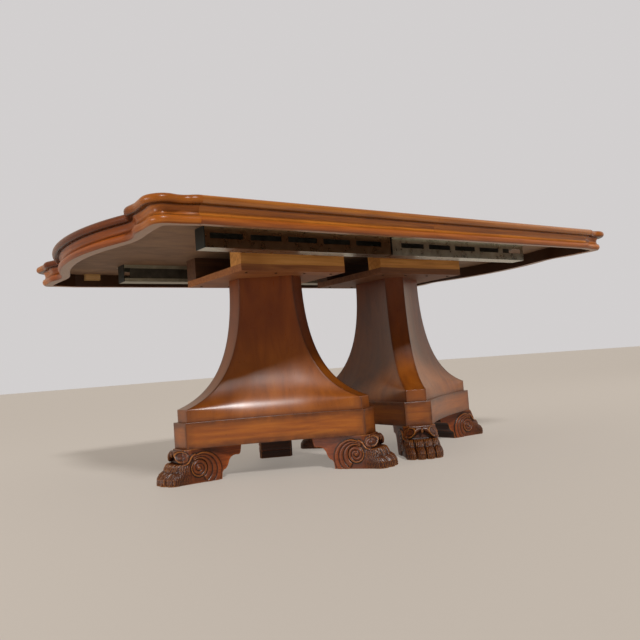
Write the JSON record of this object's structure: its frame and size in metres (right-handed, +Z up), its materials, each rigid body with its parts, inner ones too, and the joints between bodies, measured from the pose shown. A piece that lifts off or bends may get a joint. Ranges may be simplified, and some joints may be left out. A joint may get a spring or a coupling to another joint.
{
  "type": "pedestal dining table",
  "caption": "Extending dining table with a shaped, moulded top in halves on steel slides, over hollow-sided flared pedestals with carved paw feet.",
  "frame": {"origin": "on the floor, under the middle of the top", "axes": "+Z up, +X along the length of the top towards the half that pulls out, -Y towards the front"},
  "size_m": [1.9298, 1.168, 0.762],
  "materials": {
    "top_veneer": "satin lacquered veneer over a bare grey-brown underside",
    "edge_moulding": "satin lacquer, dark glaze in the quirks",
    "pedestal_veneer": "satin lacquered veneer, red-brown",
    "carved_feet": "carved, dark glaze in the recesses with worn highlights",
    "frame_wood": "bare to lightly stained solid wood",
    "block_wood": "bare pale wood",
    "pin_wood": "bare turned wood",
    "slide_steel": "zinc plated",
    "fastener_steel": "zinc plated",
    "slide_stop": "matt black"
  },
  "bodies": {
    "left_half": {"left_alignment_pins": "pin_wood", "left_apron_blocks": "block_wood", "left_board_screws": "fastener_steel", "left_column": "pedestal_veneer", "left_column_bolts": "fastener_steel", "left_end_apron": "edge_moulding", "left_end_nosing": "edge_moulding", "left_foot_bolts": "fastener_steel", "left_front_apron": "edge_moulding", "left_front_cleat": "frame_wood", "left_front_nosing": "edge_moulding", "left_front_slide_channel": "slide_steel", "left_inner_front_foot": "carved_feet", "left_inner_rear_foot": "carved_feet", "left_mounting_board": "frame_wood", "left_outer_foot": "carved_feet", "left_plinth": "pedestal_veneer", "left_rear_apron": "edge_moulding", "left_rear_cleat": "frame_wood", "left_rear_nosing": "edge_moulding", "left_rear_slide_channel": "slide_steel", "left_slide_screws": "fastener_steel", "left_slide_stop_plates": "slide_stop", "left_top_panel": "top_veneer"},
    "centre_rails": {"front_centre_slide": "slide_steel", "rear_centre_slide": "slide_steel"},
    "right_half": {"right_apron_blocks": "block_wood", "right_board_screws": "fastener_steel", "right_column": "pedestal_veneer", "right_column_bolts": "fastener_steel", "right_end_apron": "edge_moulding", "right_end_nosing": "edge_moulding", "right_foot_bolts": "fastener_steel", "right_front_apron": "edge_moulding", "right_front_cleat": "frame_wood", "right_front_nosing": "edge_moulding", "right_front_slide_channel": "slide_steel", "right_inner_front_foot": "carved_feet", "right_inner_rear_foot": "carved_feet", "right_mounting_board": "frame_wood", "right_outer_foot": "carved_feet", "right_plinth": "pedestal_veneer", "right_rear_apron": "edge_moulding", "right_rear_cleat": "frame_wood", "right_rear_nosing": "edge_moulding", "right_rear_slide_channel": "slide_steel", "right_slide_screws": "fastener_steel", "right_top_panel": "top_veneer"}
  },
  "joints": [
    {"name": "top_slide", "type": "slide", "parent": "left_half", "child": "right_half", "axis": [1, 0, 0], "range_m": [0, 1.016]},
    {"name": "centre_rail_slide", "type": "slide", "parent": "left_half", "child": "centre_rails", "axis": [1, 0, 0], "range_m": [0, 0.508]}
  ],
  "couplings": [
    {"joint": "centre_rail_slide", "follows": "top_slide", "ratio": 0.5}
  ]
}
